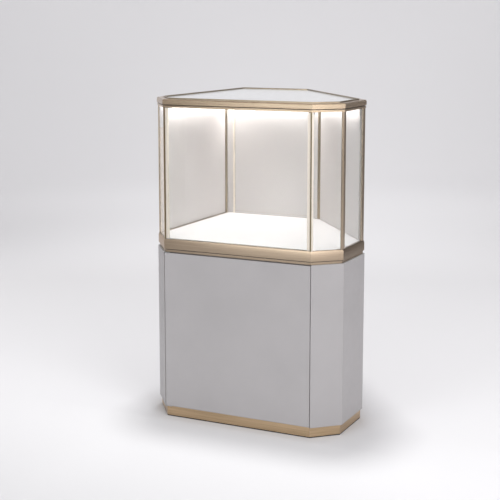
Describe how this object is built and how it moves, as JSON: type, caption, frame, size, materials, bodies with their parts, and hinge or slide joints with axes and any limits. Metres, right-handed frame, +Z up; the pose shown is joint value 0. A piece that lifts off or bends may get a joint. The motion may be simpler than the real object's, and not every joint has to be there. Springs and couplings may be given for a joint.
{
  "type": "corner display cabinet",
  "caption": "Lit corner display cabinet with a glazed upper case over a closed base, push-latch doors on corner pivots and mitred metal frames.",
  "frame": {"origin": "centre of the plan's bounding box, on the floor under the plinth", "axes": "+Z up, -Y towards the doors, +X to the right seen from the front"},
  "size_m": [0.837, 0.9, 1.3],
  "materials": {
    "bronze_metal": "bronze-toned, satin anodised",
    "gold_metal": "champagne gold, brushed and anodised",
    "dark_metal": "dark bronze, satin",
    "steel": "brushed",
    "base_board": "warm grey satin lacquer on board",
    "inner_board": "grey melamine on board",
    "wall_board": "light warm grey satin lacquer on board",
    "deck_board": "white satin lacquer on board",
    "top_board": "pale grey satin lacquer on board",
    "pane": "clear, polished edges",
    "white_plastic": "matte",
    "grey_plastic": "matte",
    "black_plastic": "matte",
    "light": "frosted, lit warm white"
  },
  "bodies": {
    "cabinet": {"plinth": "bronze_metal", "base_left_corner_panel": "base_board", "base_right_corner_panel": "base_board", "base_right_panel": "base_board", "base_diagonal_panel": "base_board", "base_back_panel": "base_board", "base_left_panel": "base_board", "base_floor": "inner_board", "base_top": "inner_board", "base_shelf": "inner_board", "shelf_rail_left": "steel", "shelf_rail_diagonal": "steel", "base_pivot_lower": "steel", "base_pivot_upper": "steel", "base_latch_body": "grey_plastic", "deck_frame": "bronze_metal", "deck_panel": "deck_board", "post_left_side": "bronze_metal", "post_left_front": "bronze_metal", "post_right_front": "bronze_metal", "post_right_side": "bronze_metal", "post_diagonal": "bronze_metal", "diagonal_wall": "wall_board", "rear_panel": "wall_board", "left_wall": "wall_board", "back_wall": "wall_board", "back_wall_filler": "wall_board", "back_wall_trim": "gold_metal", "corner_bead_left": "dark_metal", "corner_bead_right": "dark_metal", "pane_left_corner": "pane", "pane_right_corner": "pane", "pane_right_side": "pane", "display_pivot_lower": "steel", "display_pivot_upper": "steel", "display_latch_body": "grey_plastic", "top_frame": "gold_metal", "top_panel": "top_board", "glazing_bead": "dark_metal", "back_rail": "wall_board", "light_channel_walls": "steel", "light_diffuser_walls": "light", "light_tape_walls": "white_plastic", "light_channel_front": "steel", "light_diffuser_front": "light", "light_tape_front": "white_plastic", "light_driver": "white_plastic", "light_lead": "white_plastic", "cable_gland": "black_plastic"},
    "base_door": {"base_door": "base_board", "base_door_bush_lower": "steel", "base_door_bush_upper": "steel", "base_strike": "steel"},
    "display_door": {"display_door_stile_left": "gold_metal", "display_door_stile_right": "gold_metal", "display_door_pane": "pane", "display_door_bush_lower": "white_plastic", "display_door_bush_upper": "white_plastic"},
    "base_plunger": {"base_latch_plunger": "black_plastic"},
    "display_plunger": {"display_latch_plunger": "black_plastic"}
  },
  "joints": [
    {"name": "base_door_hinge", "type": "hinge", "parent": "cabinet", "child": "base_door", "pos_m": [-0.3095, -0.444, 0.36], "axis": [0, 0, -1], "range_deg": [0, 105]},
    {"name": "display_door_hinge", "type": "hinge", "parent": "cabinet", "child": "display_door", "pos_m": [-0.30446, -0.4407, 1], "axis": [0, 0, -1], "range_deg": [0, 105]},
    {"name": "base_plunger_slide", "type": "slide", "parent": "cabinet", "child": "base_plunger", "axis": [0, 1, 0], "range_m": [0, 0.003], "stiffness_N_per_m": 400, "springref_m": -0.004},
    {"name": "display_plunger_slide", "type": "slide", "parent": "cabinet", "child": "display_plunger", "axis": [0, 1, 0], "range_m": [0, 0.003], "stiffness_N_per_m": 300, "springref_m": -0.004}
  ]
}
